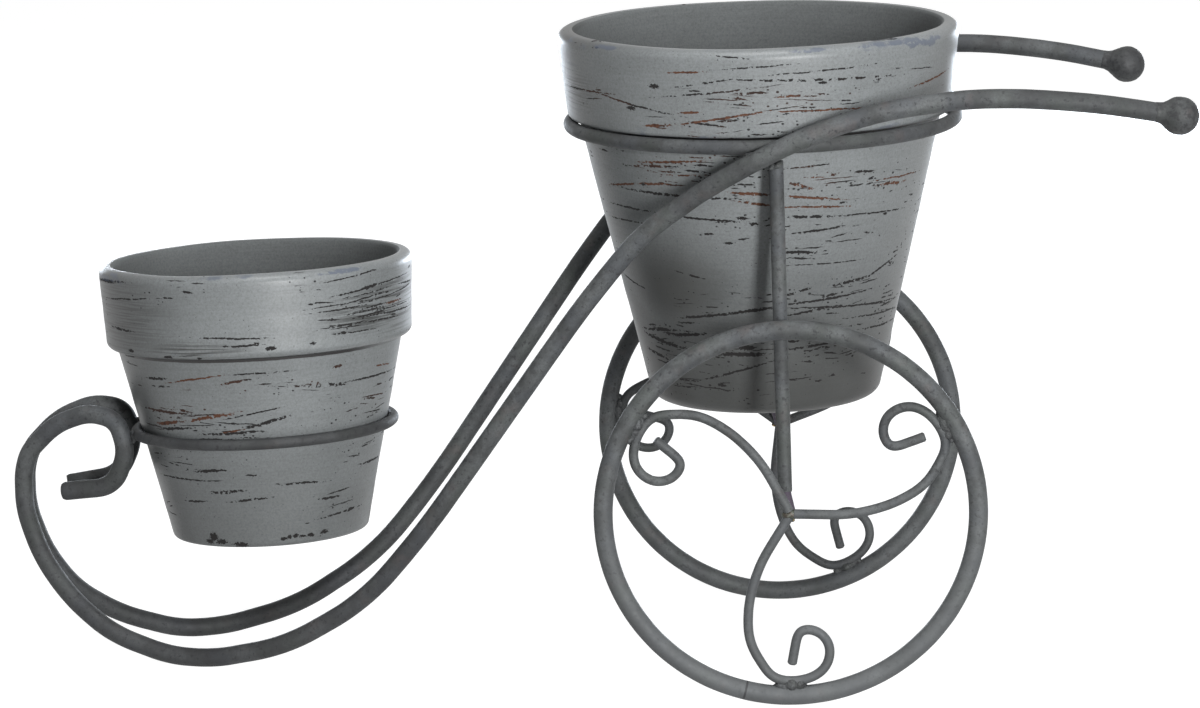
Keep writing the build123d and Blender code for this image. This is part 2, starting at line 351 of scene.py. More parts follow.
def painted_clay(name, axis_place, axis_turn, girth, tall, band_foot, look):
    """Paint for one pot. Its pattern is laid in the pot's own axes, from the middle of its foot."""
    seed = look["seed"]
    s = Shade(name)
    at = s.node("ShaderNodeMapping", {
        "Vector": s.place(), "Location": axis_place, "Rotation": axis_turn,
    }, vector_type="TEXTURE").outputs["Vector"]
    spot = s.parts(at)
    height = spot["Z"]
    turn = s.math("ARCTAN2", spot["X"], s.times(spot["Y"], -1.0))
    sideways = s.combined(X=s.times(spot["Y"], -1.0), Y=spot["X"])
    around = s.vector("NORMALIZE", sideways)
    inside = s.attribute("inside")
    edge = s.attribute("edge")
    outside = s.ramp(inside, 0.2, 0.8, 1.0, 0.0)

    # Where marks crowd together: cloudy everywhere, and thick in a few patches
    along = s.times(turn, girth)
    flat = s.combined(X=along, Y=height)
    crowd = s.ramp(s.noise(s.stretch(at, (24, 24, 42), (seed, seed, 0)), detail=2), 0.45, 0.72, 0.0, 0.38)
    crowded = s.times(patches(s, flat, girth, look["crowded"]), 0.78)
    crowd = s.larger(crowd, crowded)
    gone = patches(s, flat, girth, look["clean"])
    crowd = s.minus(crowd, s.times(gone, 0.8))
    wobble = s.noise(s.stretch(at, (110, 110, 40), (0, seed, 0)), detail=3, roughness=0.6)
    wobble = s.times(s.minus(wobble, 0.5), 1.5 * mm)
    bent = s.vector("ADD", at, s.combined(Z=wobble))
    bent_height = s.plus(height, s.times(wobble, 0.7))
    bent_flat = s.combined(X=along, Y=bent_height)
    crossed = s.combined(X=bent_height, Y=along)
    gaps = s.noise(s.stretch(at, (300, 300, 230), (seed, 0, 0)), detail=3, roughness=0.6)
    ragged = s.ramp(s.noise(s.stretch(at, (600, 600, 1000), (0, 0, seed)), detail=1), 0.3, 0.7, 0.60, 1.25)
    broken = s.ramp(gaps, 0.53, 0.57, 1.0, 0.0)
    long_marks = mark_layer(s, bent, around, 52 * mm, 4.2 * mm, 0.30 * mm, 0.10, crowd, ragged, seed)
    short_marks = mark_layer(s, bent, around, 22 * mm, 3.0 * mm, 0.36 * mm, 0.14, crowd, ragged, seed + 4)
    thick_marks = mark_layer(
        s, bent, around, 30 * mm, 9.0 * mm, 0.55 * mm, 0.16,
        s.minus(crowd, 0.10), ragged, seed + 9,
    )
    mark = s.larger(long_marks, s.times(short_marks, broken))
    mark = s.larger(mark, s.times(thick_marks, broken))

    # Specks and dots of missing paint
    cells = s.node("ShaderNodeTexVoronoi", {"Vector": s.stretch(at, (1, 1, 1.3)), "Scale": 420.0})
    chance = s.node("ShaderNodeSeparateColor", {"Color": cells.outputs["Color"]}).outputs["Red"]
    speck_size = s.times(s.ramp(chance, 0.48, 1.0, 0.0, 0.36), s.ramp(crowd, 0.0, 0.5, 0.40, 1.0))
    speck = s.ramp(s.minus(speck_size, cells.outputs["Distance"]), -0.02, 0.06)
    black = s.larger(mark, s.times(speck, 0.9))

    # The marks that stand out most
    drawn = drawn_marks(s, bent_flat, crossed, girth, gaps, ragged, look["black"])
    black = s.larger(black, drawn)
    thin = s.times(ragged, 0.80)
    rust = drawn_marks(s, bent_flat, crossed, girth, gaps, thin, look["rust"])

    # Rust shows through some of the other marks too
    rust_noise = s.noise(s.stretch(at, (26, 26, 75), (seed + 9, 3, 0)), detail=2)
    rusty = s.ramp(rust_noise, 0.50, 0.60)
    low, high = look["rust_heights"]
    rusty = s.times(rusty, s.ramp(height, low - 8 * mm, low + 8 * mm))
    rusty = s.times(rusty, s.ramp(height, high - 8 * mm, high + 8 * mm, 1.0, 0.0))

    # Worn edges, the painted shadow line under the band and the chips in the foot
    edge_noise = s.noise(s.stretch(at, (45, 45, 130), (0, seed, 0)), detail=4, roughness=0.65)
    edge_wear = s.times(edge, s.ramp(edge_noise, 0.58, 0.68))
    scuff_noise = s.noise(s.stretch(at, (150, 150, 260), (seed, 0, 9)), detail=4, roughness=0.7)
    scuff = patches(s, flat, girth, look["scuffed"])
    scuff = s.ramp(s.times(scuff, scuff_noise), 0.36, 0.46)
    edge_wear = s.larger(edge_wear, scuff)
    chip_noise = s.noise(s.stretch(at, (900, 900, 1150), (seed, 4, 0)), detail=4, roughness=0.7)
    foot_chip = patches(s, flat, girth, look["chipped"])
    foot_chip = s.ramp(s.plus(foot_chip, s.times(chip_noise, 2.6)), 1.78, 1.88)
    foot_chip = s.times(foot_chip, outside)

    # The paint itself: nearly plain, with faint brushing and cloudy tone, and painted shade towards the
    # foot, inside the pot and in a few patches
    cloud = s.noise(s.stretch(at, (16, 16, 22), (0, 0, seed)), detail=4, roughness=0.55)
    brushing = s.noise(s.stretch(at, (22, 22, 900), (seed, 0, 5)), detail=3, roughness=0.6)
    grain = s.noise(at, 1100.0, detail=3, roughness=0.7)
    tone = s.plus(s.ramp(cloud, 0.3, 0.7, 0.25, 0.80), s.ramp(brushing, 0.3, 0.7, -0.16, 0.16))
    tone = s.plus(tone, s.ramp(grain, 0.3, 0.7, -0.30, 0.30))
    paint = s.mix(tone, paint_dark, paint_light)
    speckle = s.noise(at, 800.0, detail=3, roughness=0.75)
    paint = s.mix(s.ramp(speckle, 0.42, 0.72, 0.0, 0.42), paint, paint_speck)
    # Painted shade: darker towards the foot, inside the pot and in the shaded patches; the cloud adds
    # random tone
    painted_shade_and_tone = s.ramp(height, tall * 0.02, tall * 0.62, look["foot_shade"], 0.0)
    painted_shade_and_tone = s.plus(painted_shade_and_tone, s.ramp(cloud, 0.55, 0.75, 0.0, 0.12))
    painted_shade_and_tone = s.larger(painted_shade_and_tone, s.times(inside, 0.35))
    # Painted shade in the listed patches
    shaded_patches = s.times(patches(s, flat, girth, look["shaded_patches"]), look["patch_shade"])
    painted_shade_and_tone = s.larger(painted_shade_and_tone, shaded_patches)
    paint = s.mix(painted_shade_and_tone, paint, paint_grime_and_shade)
    streak = s.times(patches(s, flat, girth, look["brushed_dark"]), outside)
    streak = s.times(streak, s.ramp(brushing, 0.44, 0.60))
    paint = s.mix(streak, paint, paint_grime_and_shade)
    paint = s.mix(s.times(black, outside), paint, s.mix(rusty, mark_black, rust_brown))
    rust_colour = s.mix(s.ramp(gaps, 0.40, 0.50), rust_brown, rust_orange)
    paint = s.mix(s.times(rust, outside), paint, rust_colour)
    paint = s.mix(s.times(edge_wear, 0.75), paint, bare_blue)
    # A painted shadow: a dark line just under the band's overhang, fainter at the sides
    band_shadow_line = s.math("ABSOLUTE", s.minus(height, band_foot - 0.4 * mm))
    band_shadow_line = s.plus(band_shadow_line, s.times(s.minus(edge_noise, 0.5), 1.0 * mm))
    band_shadow_line = s.ramp(band_shadow_line, 1.0 * mm, 1.3 * mm, 1.0, 0.0)
    band_shadow_line = s.times(band_shadow_line, s.ramp(s.math("ABSOLUTE", turn), radians(42), radians(66), 1.0, 0.3))
    paint = s.mix(s.times(band_shadow_line, outside), paint, mark_black)
    paint = s.mix(foot_chip, paint, mark_black)

    bare = s.larger(s.times(s.larger(black, rust), outside), foot_chip)
    depth = s.minus(s.times(brushing, 0.25), bare)
    depth = s.plus(depth, s.times(grain, 0.30))
    return s.surface(
        Base_Color=paint,
        Roughness=s.ramp(s.larger(bare, inside), 0.0, 1.0, 0.43, 0.95),
        Specular_IOR_Level=0.45,
        Normal=s.bump(depth, 0.10 * mm, 0.6),
    )


# Steel: dull lacquer over a mottled grey, green and blue patina
steel_light = (0.110, 0.117, 0.120)
steel_dark = (0.050, 0.053, 0.054)
steel_green = (0.066, 0.076, 0.068)
steel_blue = (0.066, 0.073, 0.084)
steel_pink = (0.100, 0.083, 0.080)
steel_black = (0.018, 0.018, 0.020)
# A lighter grey that the hoops and spokes turn to near the floor: painted reflection of the pale floor
floor_reflection_grey = (0.150, 0.158, 0.162)
low_height = 0.17


def patinated_steel(
    name, darker=0.0, tint=None, tint_amount=0.0, seed=0.0, roughness=0.68, low=0.0, low_tone=None,
    pitted=0.035, seam=None,
):
    """Bare steel bar with its mill scale, rubbed and lacquered.

    low is how strongly it turns to low_tone near the floor. seam is the turn of a hoop's butt
    joint from its lowest place."""
    s = Shade(name)
    at = s.stretch(s.place(), (1, 1, 1), (seed, 0, 0))
    cloud = s.noise(at, 55.0, detail=4, roughness=0.6)
    mottle = s.noise(at, 260.0, detail=4, roughness=0.65)
    hue = s.noise(s.stretch(at, (1, 1, 1), (3, 0, 0)), 48.0, detail=2)
    pink = s.noise(s.stretch(at, (1, 1, 1), (0, 5, 0)), 75.0, detail=3)
    pits = s.noise(s.stretch(at, (1, 1, 1), (0, 0, 7)), 420.0, detail=3, roughness=0.6)
    scale = s.plus(s.times(cloud, 0.6), s.times(mottle, 0.4))
    colour = s.mix(s.ramp(scale, 0.40, 0.60), steel_dark, steel_light)
    colour = s.mix(s.ramp(hue, 0.50, 0.68, 0.0, 0.45), colour, steel_green)
    colour = s.mix(s.ramp(hue, 0.50, 0.34, 0.0, 0.45), colour, steel_blue)
    colour = s.mix(s.ramp(pink, 0.58, 0.72, 0.0, 0.40), colour, steel_pink)
    colour = s.mix(s.ramp(pits, 0.60 - pitted, 0.72 - pitted, 0.0, 0.70), colour, steel_black)
    grain = s.noise(s.stretch(at, (1, 1, 1), (9, 0, 0)), 900.0, detail=3, roughness=0.7)
    colour = s.mix(s.ramp(grain, 0.40, 0.68, 0.0, 0.45), colour, steel_dark)
    burnt = s.noise(s.stretch(at, (1, 1, 1), (0, 0, 3)), 16.0, detail=3, roughness=0.6)
    colour = s.mix(s.ramp(burnt, 0.52, 0.66, 0.0, 0.38), colour, steel_black)
    if low > 0:
        up = s.parts(s.place())["Z"]
        colour = s.mix(s.ramp(up, 0.0, low_height, low, 0.0), colour, low_tone)
    if seam is not None:
        spot = s.parts(s.place())
        turn = s.math("ARCTAN2", s.minus(spot["X"], axle_x), s.minus(wheel_radius, spot["Z"]))
        away = s.times(s.math("ABSOLUTE", s.minus(turn, radians(seam))), wheel_radius)
        colour = s.mix(s.ramp(away, 0.3 * mm, 0.8 * mm, 0.75, 0.0), colour, steel_black)
    if tint is not None:
        colour = s.mix(tint_amount, colour, tint)
    if darker > 0:
        colour = s.mix(darker, colour, steel_black)
    relief = s.plus(s.times(mottle, 0.8), s.times(pits, -0.6))
    return s.surface(
        Base_Color=colour,
        Metallic=0.30,
        Roughness=s.ramp(mottle, 0.3, 0.7, roughness - 0.06, roughness + 0.10),
        Specular_IOR_Level=0.5,
        Normal=s.bump(relief, 0.12 * mm, 0.5),
    )


brass_bright = (0.640, 0.420, 0.150)
braze_brown = (0.046, 0.037, 0.027)
braze_green = (0.056, 0.062, 0.048)


def braze_metal(name):
    """Brown flux-stained braze with small bare brass glints."""
    s = Shade(name)
    at = s.place()
    cloud = s.noise(at, 420.0, detail=3)
    bright = s.ramp(s.noise(s.stretch(at, (1, 1, 1), (2, 0, 0)), 520.0, detail=2), 0.64, 0.70)
    colour = s.mix(s.ramp(cloud, 0.4, 0.6), braze_brown, braze_green)
    colour = s.mix(bright, colour, brass_bright)
    return s.surface(
        Base_Color=colour,
        Metallic=s.ramp(bright, 0.0, 1.0, 0.25, 0.95),
        Roughness=s.ramp(bright, 0.0, 1.0, 0.50, 0.25),
        Normal=s.bump(cloud, 0.3 * mm, 0.6),
    )


# Bars, drawn along a line of points
def bar_tree():
    """Sweep a round bar along a line, ease its cut end and raise low hammer lumps on it."""
    tree = bpy.data.node_groups.new("round_bar", "GeometryNodeTree")
    for name, kind in (
        ("Line", "NodeSocketGeometry"), ("Radius", "NodeSocketFloat"), ("Sides", "NodeSocketInt"),
        ("Step", "NodeSocketFloat"), ("End Length", "NodeSocketFloat"),
        ("End Share", "NodeSocketFloat"), ("Lump Height", "NodeSocketFloat"),
        ("Lump Size", "NodeSocketFloat"), ("Seed", "NodeSocketFloat"),
        ("Material", "NodeSocketMaterial"),
    ):
        tree.interface.new_socket(name=name, in_out="INPUT", socket_type=kind)
    tree.interface.new_socket(name="Bar", in_out="OUTPUT", socket_type="NodeSocketGeometry")

    given = add_node(tree, "NodeGroupInput").outputs
    line = add_node(tree, "GeometryNodeMeshToCurve", {"Mesh": given["Line"]})
    even = add_node(tree, "GeometryNodeResampleCurve", mode="LENGTH")
    fill(tree, even.inputs["Curve"], line.outputs["Curve"])
    fill(tree, even.inputs["Length"], given["Step"])
    along = add_node(tree, "GeometryNodeSplineParameter").outputs["Length"]
    whole = add_node(tree, "GeometryNodeSplineLength").outputs["Length"]
    left = math_node(tree, "SUBTRACT", whole, along)
    ease = add_node(tree, "ShaderNodeMapRange", {
        "Value": left, "From Min": 0.0, "From Max": given["End Length"],
        "To Min": given["End Share"], "To Max": 1.0,
    })
    section = add_node(tree, "GeometryNodeCurvePrimitiveCircle", {
        "Resolution": given["Sides"], "Radius": given["Radius"],
    })
    bar = add_node(tree, "GeometryNodeCurveToMesh", {
        "Curve": even.outputs["Curve"], "Profile Curve": section.outputs["Curve"],
        "Scale": ease.outputs["Result"], "Fill Caps": True,
    })
    place = add_node(tree, "GeometryNodeInputPosition").outputs["Position"]
    shift = add_node(tree, "ShaderNodeCombineXYZ", {"X": given["Seed"]}).outputs["Vector"]
    seeded = add_node(tree, "ShaderNodeVectorMath", {0: place, 1: shift}, operation="ADD")
    frequency = math_node(tree, "DIVIDE", 1.0, given["Lump Size"])
    lumps = add_node(tree, "ShaderNodeTexNoise", {
        "Vector": seeded.outputs["Vector"], "Scale": frequency, "Detail": 2.0,
    })
    centred = math_node(tree, "SUBTRACT", lumps.outputs["Fac"], 0.5)
    rise = math_node(tree, "MULTIPLY", centred, given["Lump Height"])
    normal = add_node(tree, "GeometryNodeInputNormal").outputs["Normal"]
    offset = add_node(tree, "ShaderNodeVectorMath", {0: normal, "Scale": rise}, operation="SCALE")
    lumpy = add_node(tree, "GeometryNodeSetPosition", {
        "Geometry": bar.outputs["Mesh"], "Offset": offset.outputs["Vector"],
    })
    smooth = add_node(tree, "GeometryNodeSetShadeSmooth", {"Geometry": lumpy.outputs["Geometry"]})
    angle = add_node(tree, "GeometryNodeInputMeshEdgeAngle").outputs["Unsigned Angle"]
    sharp = add_node(
        tree, "FunctionNodeCompare", {0: angle, 1: radians(38)}, operation="GREATER_THAN"
    )
    creased = add_node(tree, "GeometryNodeSetShadeSmooth", {
        "Geometry": smooth.outputs["Geometry"], "Selection": sharp.outputs["Result"],
        "Shade Smooth": False,
    }, domain="EDGE")
    real = add_node(tree, "GeometryNodeRealizeInstances", {"Geometry": creased.outputs["Geometry"]})
    done = add_node(tree, "GeometryNodeSetMaterial", {
        "Geometry": real.outputs["Geometry"], "Material": given["Material"],
    })
    add_node(tree, "NodeGroupOutput", {"Bar": done.outputs["Geometry"]})
    return tree


round_bar = bar_tree()


def grown(name, tree, source, values):
    """Run a node tree on a mesh and keep its result as a plain mesh piece."""
    maker = link(bpy.data.objects.new(name + "_maker", source))
    modifier = maker.modifiers.new("make", "NODES")
    modifier.node_group = tree
    for item in tree.interface.items_tree:
        if item.in_out == "INPUT" and item.name in values:
            modifier[item.identifier] = values[item.name]
    bpy.context.view_layer.update()
    evaluated = maker.evaluated_get(bpy.context.evaluated_depsgraph_get())
    mesh = bpy.data.meshes.new_from_object(evaluated)
    mesh.name = name
    bpy.data.objects.remove(maker)
    return link(bpy.data.objects.new(name, mesh))


def bar(name, points, radius, material, closed=False, end_share=0.9, lumps=0.16 * mm, seed=0.0, sides=28):
    """A round bar along a line of points. Its cut end is the last point."""
    source = bpy.data.meshes.new(name + "_line")
    edges = [(i, i + 1) for i in range(len(points) - 1)]
    if closed:
        edges.append((len(points) - 1, 0))
    source.from_pydata([tuple(p) for p in points], edges, [])
    return grown(name, round_bar, source, {
        "Radius": radius,
        "Sides": sides,
        "Step": radius * 0.30,
        "End Length": radius * 0.22,
        "End Share": 1.0 if closed else end_share,
        "Lump Height": lumps,
        "Lump Size": radius * 2.2,
        "Seed": seed,
        "Material": material,
    })


def rounded(corners, per_bend=10):
    """A line through corners whose bends use up a share of the shorter run beside each."""
    line = [corners[0]]
    for before, corner, after in zip(corners, corners[1:], corners[2:]):
        run_in = before - corner
        run_out = after - corner
        reach = bend_share * min(run_in.length, run_out.length)
        start = corner + run_in.normalized() * reach
        end = corner + run_out.normalized() * reach
        for i in range(per_bend + 1):
            t = i / per_bend
            line.append(start * (1 - t) ** 2 + corner * 2 * t * (1 - t) + end * t * t)
    line.append(corners[-1])
    return line


def eased(points, reach, step=0.8 * mm):
    """A line with its bends evened out: each place moves to the mean of those within the reach."""
    even = [points[0]]
    for here, there in zip(points, points[1:]):
        pieces = max(1, round((there - here).length / step))
        even += [here.lerp(there, (k + 1) / pieces) for k in range(pieces)]
    eased_line = []
    for i in range(len(even)):
        span = min(i, len(even) - 1 - i, round(reach / step))
        beside = even[i - span:i + span + 1]
        eased_line.append(sum(beside, Vector()) / len(beside))
    return eased_line


def circle(centre, axis, radius, count=240):
    """Points round a circle."""
    side = axis.orthogonal().normalized()
    other = axis.cross(side)
    return [
        centre + (side * cos(2 * pi * i / count) + other * sin(2 * pi * i / count)) * radius
        for i in range(count)
    ]


# Turned pieces: an outline of radius and height, spun round an axis
def rounded_outline(corners, step, per_round=8):
    """A closed outline with its corners rounded and its long runs divided."""
    outline = []
    count = len(corners)
    for i, (r, h, round_radius) in enumerate(corners):
        corner = Vector((r, h))
        before = Vector(corners[i - 1][:2]) - corner
        after = Vector(corners[(i + 1) % count][:2]) - corner
        if round_radius > 0:
            half = before.angle(after) / 2
            reach = round_radius / tan(half)
            start = corner + before.normalized() * reach
            end = corner + after.normalized() * reach
            centre = corner + (before.normalized() + after.normalized()).normalized() * (
                round_radius / sin(half)
            )
            first = start - centre
            last = end - centre
            sweep = first.angle_signed(last)
            for k in range(per_round + 1):
                outline.append(centre + Matrix.Rotation(-sweep * k / per_round, 2) @ first)
        else:
            outline.append(corner)
    divided = []
    for here, there in zip(outline, outline[1:] + outline[:1]):
        pieces = max(1, round((there - here).length / step))
        divided += [here.lerp(there, k / pieces) for k in range(pieces)]
    return divided


def spun(name, outline, place, turn, segments, shape):
    """Spin a closed outline. shape moves a point and gives its attribute values."""
    points = []
    values = {}
    at = {}
    for i in range(segments):
        around = 2 * pi * i / segments
        for j, spot in enumerate(outline):
            if spot.x == 0 and i > 0:
                at[i, j] = at[0, j]
                continue
            moved, marks = shape(spot, around)
            at[i, j] = len(points)
            points.append(place + turn @ Vector((
                moved.x * cos(around), moved.x * sin(around), moved.y,
            )))
            for key, value in marks.items():
                values.setdefault(key, []).append(value)
    faces = []
    for i in range(segments):
        there = (i + 1) % segments
        for j in range(len(outline)):
            up = (j + 1) % len(outline)
            face = list(dict.fromkeys((at[i, j], at[there, j], at[there, up], at[i, up])))
            if len(face) > 2:
                faces.append(face)
    mesh = bpy.data.meshes.new(name)
    mesh.from_pydata([tuple(p) for p in points], [], faces)
    for key, column in values.items():
        attribute = mesh.attributes.new(key, "FLOAT", "POINT")
        attribute.data.foreach_set("value", column)
    mesh.shade_smooth()
    return link(bpy.data.objects.new(name, mesh))


def axis_of(joint_name):
    """The direction in which a pot lifts, which is square to its ring."""
    return Vector(next(j["axis"] for j in frame["joints"] if j["name"] == joint_name)).normalized()


def near(distance, reach):
    """1 at no distance, falling smoothly to 0 at the reach."""
    t = max(0.0, 1 - abs(distance) / reach)
    return t * t * (3 - 2 * t)


def clay_pot(name, size, joint_name, mount_name, node, look):
    """One painted pot with slightly uneven walls, a worn rim and chips in its foot."""
    seed = look["seed"]
    axis = axis_of(joint_name)
    turn = Vector((0, 0, 1)).rotation_difference(axis)
    foot = Vector(mounts[mount_name]["pos_m"]) - axis * size["floor"] / 2
    rim = size["rim"] / 2
    base = size["base"] / 2
    height = size["height"]
    shoulder = rim - size["flare"] - size["step"]
    band_foot = height - size["band"]
    draft = (shoulder - base) / band_foot
    floor_radius = base + draft * size["floor"] - size["wall"]
    corners = (
        (size["hole"] / 2, 0, hole_round), (base, 0, size["base_round"]),
        (shoulder, band_foot, shoulder_round), (shoulder + size["step"], band_foot, size["foot_round"]),
        (rim, height, rim_outer_round), (rim - size["wall"], height, rim_inner_round),
        (floor_radius, size["floor"], inner_corner_round),
        (size["hole"] / 2, size["floor"], hole_round),
    )
    outline = rounded_outline(corners, outline_step)
    rim_corner = Vector((rim - mm, height - mm))
    band_corner = Vector((shoulder + size["step"], band_foot + mm))

    def shape(spot, around):
        r, h = spot
        wall_line = floor_radius + (rim - size["wall"] - floor_radius) * (
            (h - size["floor"]) / (height - size["floor"])
        )
        inside = h > size["floor"] - 0.1 * mm and r < wall_line + 1.0 * mm
        out = Vector((cos(around), sin(around), 0))
        here = Vector((r * out.x, r * out.y, h))
        wave = noise.noise(here * 22 + Vector((seed, 0, 0))) * wall_wave
        rings = noise.noise(Vector((seed, 0, h * 160))) * wall_rings
        wavy = noise.noise(out * 1.4 + Vector((seed, seed, 0))) * rim_wave
        wavy *= near(h - height, rim_wave_reach)
        bite = 0.0
        if r > base * 0.8:
            for angle, chip_height, half_turn, half_height in look["chipped"]:
                across = degrees((around - radians(angle - 90) + pi) % (2 * pi) - pi)
                depth = near(across, half_turn) * near(h - chip_height * mm, half_height * mm)
                bite = max(bite, depth * (0.5 + noise.noise(here * 900)) * chip_depth)
        moved = Vector((r + wave + rings - bite, h + (0 if h < 1 * mm else wavy)))
        edge = max(
            near((spot - rim_corner).length, rim_wear_reach),
            0.7 * near((spot - band_corner).length, band_wear_reach),
        )
        return moved, {"inside": float(inside), "edge": edge}

    piece = spun(name, outline, foot, turn, 260, shape)
    paint = painted_clay(name + "_paint", foot, turn.to_euler(), shoulder, height, band_foot, look)
    return finish(piece, paint, node, "painted_clay", node)


def weld(name, spots, material, slot, nodes, size, reach, count, seed, lumps=0.55 * mm):
    """Rough beads: overlapping drops along each joint, run together and rippled."""
    pick = Random(seed)
    points = []
    faces = []
    for spot, along in spots:
        for i in range(count):
            step = (i / max(1, count - 1) - 0.5) * 2 * reach
            stray = Vector([pick.uniform(-1, 1) for _ in range(3)]) * size * 0.28
            drop = size * pick.uniform(0.78, 1.06) * (1 - 0.45 * (abs(step) / reach) ** 1.5)
            centre = spot + along * step + stray
            ball_points, ball_faces = ball(centre, drop)
            faces += [tuple(v + len(points) for v in face) for face in ball_faces]
            points += ball_points
    mesh = bpy.data.meshes.new(name + "_drops")
    mesh.from_pydata(points, [], faces)
    maker = link(bpy.data.objects.new(name + "_drops", mesh))
    skin = maker.modifiers.new("skin", "REMESH")
    skin.mode = "VOXEL"
    skin.voxel_size = 0.38 * mm
    soften = maker.modifiers.new("soften", "SMOOTH")
    soften.factor = 0.5
    soften.iterations = 3
    evaluated = maker.evaluated_get(bpy.context.evaluated_depsgraph_get())
    skinned = bpy.data.meshes.new_from_object(evaluated)
    bpy.data.objects.remove(maker)
    skinned.name = name
    for vertex in skinned.vertices:
        ripple = noise.noise(vertex.co * 700) * 0.6 + noise.noise(vertex.co * 1600) * 0.4
        vertex.co += vertex.normal * ripple * lumps
    skinned.shade_smooth()
    piece = link(bpy.data.objects.new(name, skinned))
    return finish(piece, material, "frame", slot, *nodes)


def ball(centre, radius, rings=8, segments=12):
    """Points and faces of one round drop."""
    points = [centre + Vector((0, 0, radius))]
    for i in range(1, rings):
        polar = pi * i / rings
        for k in range(segments):
            turn = 2 * pi * k / segments
            points.append(centre + Vector((
                sin(polar) * cos(turn), sin(polar) * sin(turn), cos(polar),
            )) * radius)
    points.append(centre - Vector((0, 0, radius)))
    faces = []
    last = len(points) - 1
    for k in range(segments):
        after = (k + 1) % segments
        faces.append((0, 1 + k, 1 + after))
        for i in range(rings - 2):
            low = 1 + i * segments
            faces.append((low + k, low + segments + k, low + segments + after, low + after))
        low = 1 + (rings - 2) * segments
        faces.append((low + k, last, low + after))
    return points, faces


# Rods
def rod_corners(side, reach):
    """Corners of one rod, up to the centre of its knob."""
    corners = []
    for along, across, up in rod_shares:
        span = front_reach - rod_radius if along > 0 else reach - knob_radius
        corners.append(Vector((
            axle_x - along * span,
            side * (nose_half_spread + across * (half_spread - nose_half_spread)),
            rod_radius + up * (handle_top_height - rod_diameter),
        )))
    return corners


rod_steel = patinated_steel("rod_steel", low=0.48, low_tone=steel_black)
# Near the floor the hoops and spokes turn lighter: painted reflection of the floor
hoop_steel = {
    "left": patinated_steel("near_hoop_steel", seed=1.0, low=0.55, low_tone=floor_reflection_grey, seam=-14.0),
    "right": patinated_steel("far_hoop_steel", seed=1.3, low=0.22, low_tone=floor_reflection_grey, seam=-160.0),
}
spoke_steel = {
    "left": patinated_steel("near_spoke_steel", seed=1.7, low=0.45, low_tone=floor_reflection_grey),
    "right": patinated_steel("far_spoke_steel", seed=1.9, low=0.15, low_tone=floor_reflection_grey),
}
leg_steel = patinated_steel("leg_steel", seed=1.5)
ring_steel = patinated_steel("ring_steel", darker=0.18, seed=2.0)
# The small ring's steel is darker all over: painted shade, where it lies under the small pot's band
small_ring_steel = patinated_steel("small_ring_steel", darker=0.52, seed=2.5)
knob_steel = patinated_steel("knob_steel", darker=0.42, seed=4.0, roughness=0.62, pitted=0.13)
weld_steel = patinated_steel("weld_steel", darker=0.22, seed=6.0, roughness=0.60, pitted=0.06)
stub_steel = patinated_steel("stub_steel", darker=0.15, tint=(0.075, 0.050, 0.085), tint_amount=0.6)
hub_braze = braze_metal("hub_braze")

corners = {
    "left": rod_corners(-1, handle_reach),
    "right": rod_corners(1, handle_reach - handle_mismatch),
}
for index, (side_name, line) in enumerate(corners.items()):
    rod = bar(
        side_name + "_bent_rod", rounded(line[::-1]), rod_radius, rod_steel,
        end_share=0.88, lumps=0.20 * mm, seed=3.0 + index,
    )
    finish(rod, rod_steel, "frame", "rod_steel", side_name + "_frame_rod")

